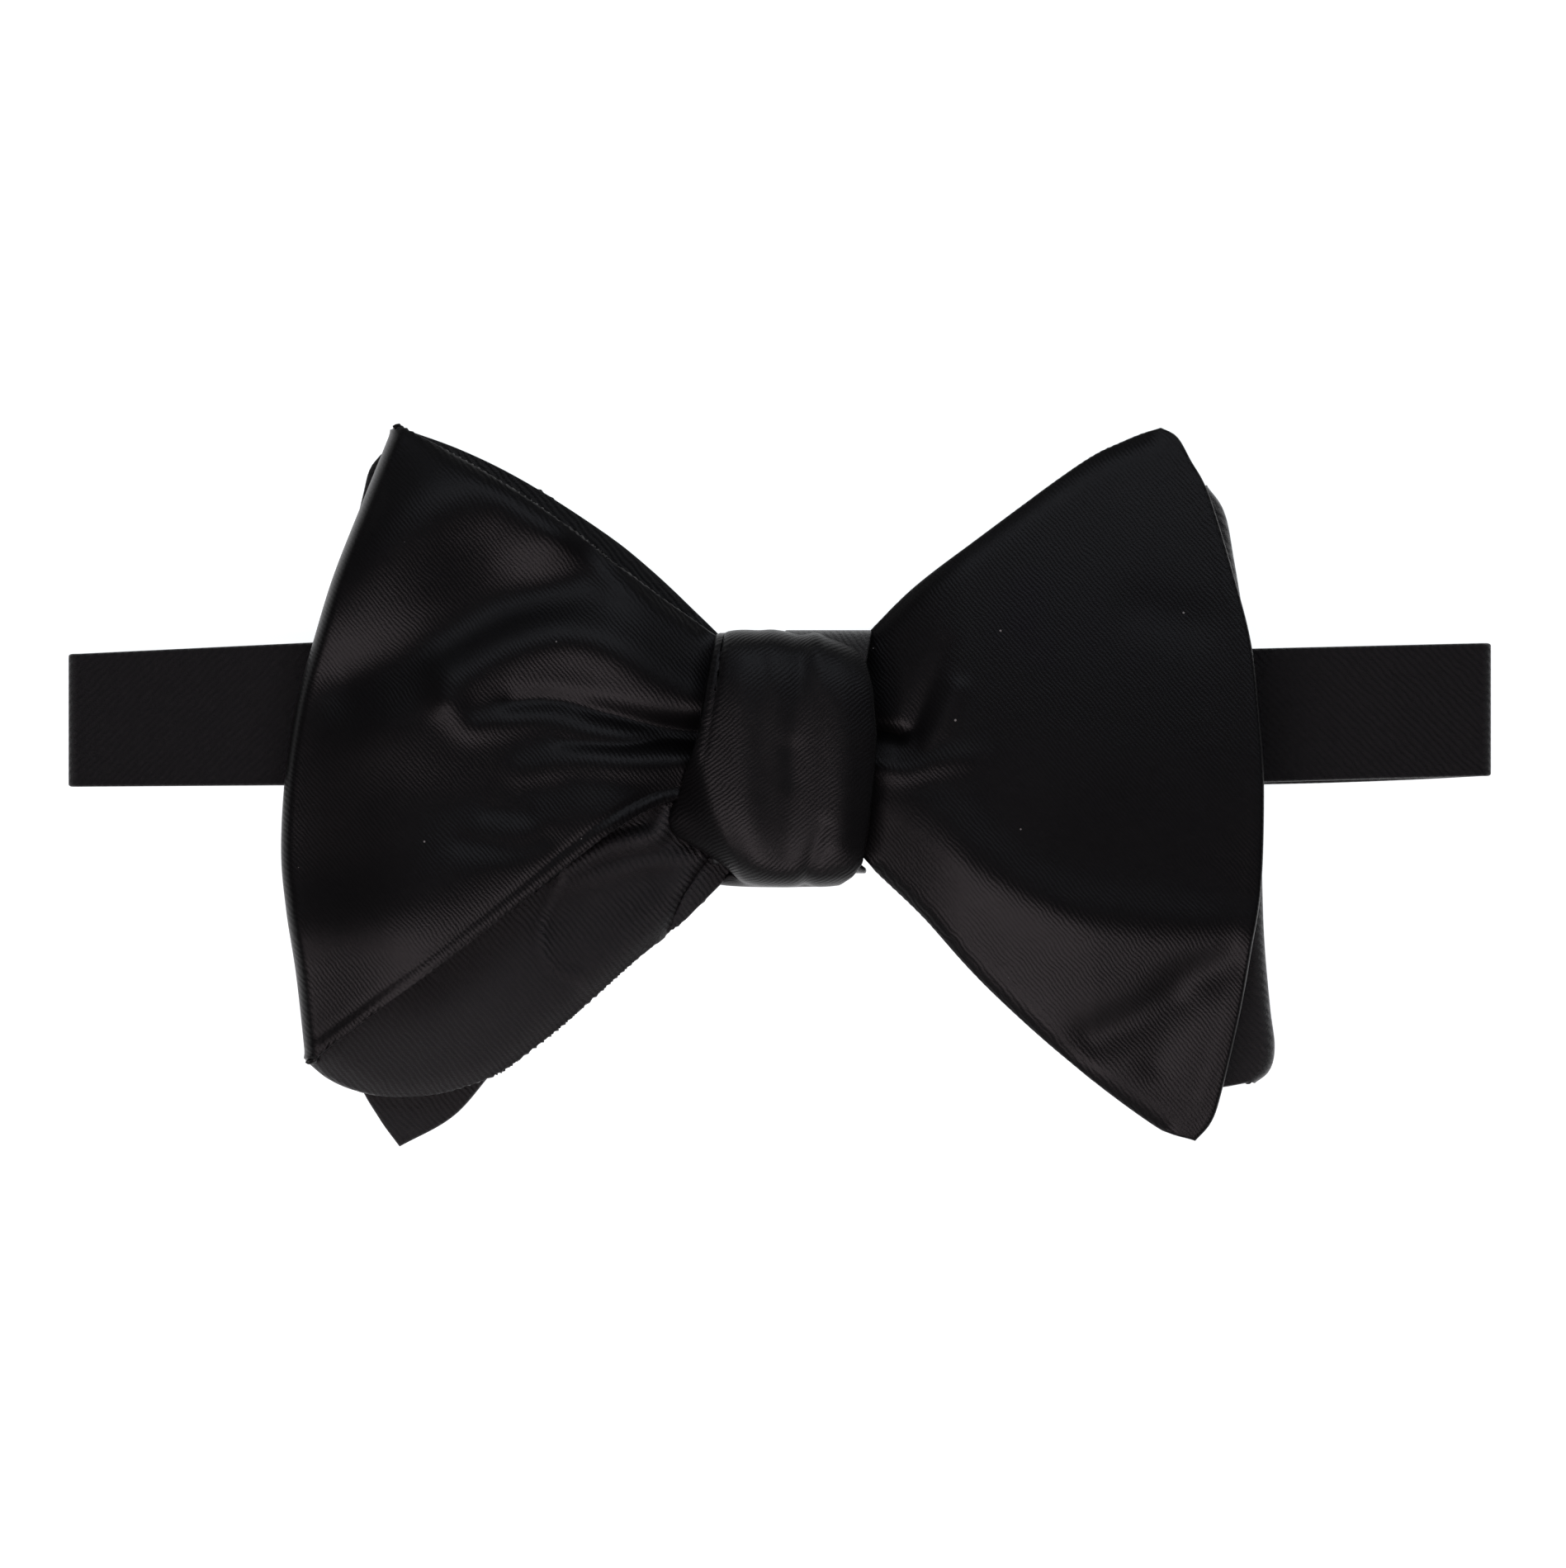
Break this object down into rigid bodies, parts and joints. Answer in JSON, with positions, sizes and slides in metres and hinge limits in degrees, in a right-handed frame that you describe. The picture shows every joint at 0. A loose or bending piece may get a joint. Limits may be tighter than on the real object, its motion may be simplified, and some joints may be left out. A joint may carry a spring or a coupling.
{
  "type": "self-tie bow tie",
  "caption": "Tied butterfly bow tie in black satin: knot, four wing ends and a folded neck band that opens into a loop, with hook, eye and slide at the back.",
  "frame": {"origin": "middle of the tie's footprint, on the flat surface that it lies on face up", "axes": "+X along the neck band towards the right wing as seen from the front, +Y towards the top of the bow, +Z out of the bow's face"},
  "size_m": [0.1732, 0.0886, 0.0204],
  "materials": {
    "satin": "black silk satin, fine diagonal rib",
    "interlining": "brushed cotton interlining",
    "thread": "black polyester thread",
    "label": "blank woven ribbon",
    "nickel": "nickel-plated steel"
  },
  "bodies": {
    "bow_knot": {"knot_wrap_silk": "satin", "knot_wrap_interlining": "interlining", "knot_core_rear": "interlining", "knot_core_front": "interlining", "band_centre_silk": "satin", "band_centre_interlining": "interlining"},
    "left_front_loop": {"left_loop_back_interlining": "interlining", "left_loop_back_lining": "satin", "left_loop_back_silk": "satin", "left_loop_fold": "satin", "left_loop_front_interlining": "interlining", "left_loop_front_lining": "satin", "left_loop_front_silk": "satin"},
    "left_rear_blade": {"left_blade_back_silk": "satin", "left_blade_front_silk": "satin", "left_blade_interlining": "interlining"},
    "right_front_blade": {"right_blade_back_silk": "satin", "right_blade_front_silk": "satin", "right_blade_interlining": "interlining"},
    "right_rear_loop": {"right_loop_back_interlining": "interlining", "right_loop_back_lining": "satin", "right_loop_back_silk": "satin", "right_loop_fold": "satin", "right_loop_front_interlining": "interlining", "right_loop_front_lining": "satin", "right_loop_front_silk": "satin"},
    "left_strap": {"left_strap_silk": "satin", "left_strap_interlining": "interlining", "left_fold": "satin"},
    "right_strap": {"right_strap_silk": "satin", "right_strap_interlining": "interlining", "right_fold": "satin"},
    "left_rear_band": {"left_rear_band_silk": "satin", "left_rear_band_interlining": "interlining", "left_turn_back": "satin", "turn_back_bar_tack": "thread", "size_label": "label", "hook": "nickel"},
    "right_rear_band": {"right_rear_band_silk": "satin", "right_rear_band_interlining": "interlining", "eye_turn": "satin", "band_tail": "satin", "eye_ring": "nickel"},
    "slide_adjuster": {"adjuster_slide": "nickel"}
  },
  "joints": [
    {"name": "left_front_wing_lift", "type": "hinge", "parent": "bow_knot", "child": "left_front_loop", "pos_m": [-0.0116, 0, 0.0166], "axis": [0, 1, 0], "range_deg": [0, 30]},
    {"name": "left_rear_wing_lift", "type": "hinge", "parent": "bow_knot", "child": "left_rear_blade", "pos_m": [-0.0116, 0, 0.0166], "axis": [0, 1, 0], "range_deg": [0, 15]},
    {"name": "right_front_wing_lift", "type": "hinge", "parent": "bow_knot", "child": "right_front_blade", "pos_m": [0.0123, 0, 0.0166], "axis": [0, -1, 0], "range_deg": [0, 30]},
    {"name": "right_rear_wing_lift", "type": "hinge", "parent": "bow_knot", "child": "right_rear_loop", "pos_m": [0.0123, 0, 0.0166], "axis": [0, -1, 0], "range_deg": [0, 15]},
    {"name": "left_strap_swing", "type": "hinge", "parent": "bow_knot", "child": "left_strap", "pos_m": [-0.0125, 0.00795, 0.002], "axis": [0, -1, 0], "range_deg": [0, 40]},
    {"name": "right_strap_swing", "type": "hinge", "parent": "bow_knot", "child": "right_strap", "pos_m": [0.0125, 0.00795, 0.002], "axis": [0, 1, 0], "range_deg": [0, 40]},
    {"name": "left_crease", "type": "hinge", "parent": "left_strap", "child": "left_rear_band", "pos_m": [-0.08545, 0.00795, 0.00115], "axis": [0, 1, 0], "range_deg": [0, 78], "deforming": ["left_fold"]},
    {"name": "right_crease", "type": "hinge", "parent": "right_strap", "child": "right_rear_band", "pos_m": [0.08545, 0.00795, 0.00115], "axis": [0, -1, 0], "range_deg": [0, 78], "deforming": ["right_fold"]},
    {"name": "adjuster_travel", "type": "slide", "parent": "right_rear_band", "child": "slide_adjuster", "axis": [-1, 0, 0], "range_m": [0, 0.015], "deforming": ["band_tail"]}
  ],
  "couplings": [
    {"joint": "left_rear_wing_lift", "follows": "left_front_wing_lift", "ratio": 0.5},
    {"joint": "right_rear_wing_lift", "follows": "right_front_wing_lift", "ratio": 0.5},
    {"joint": "right_strap_swing", "follows": "left_strap_swing", "ratio": 1},
    {"joint": "left_crease", "follows": "left_strap_swing", "ratio": 1.95},
    {"joint": "right_crease", "follows": "left_strap_swing", "ratio": 1.95}
  ]
}
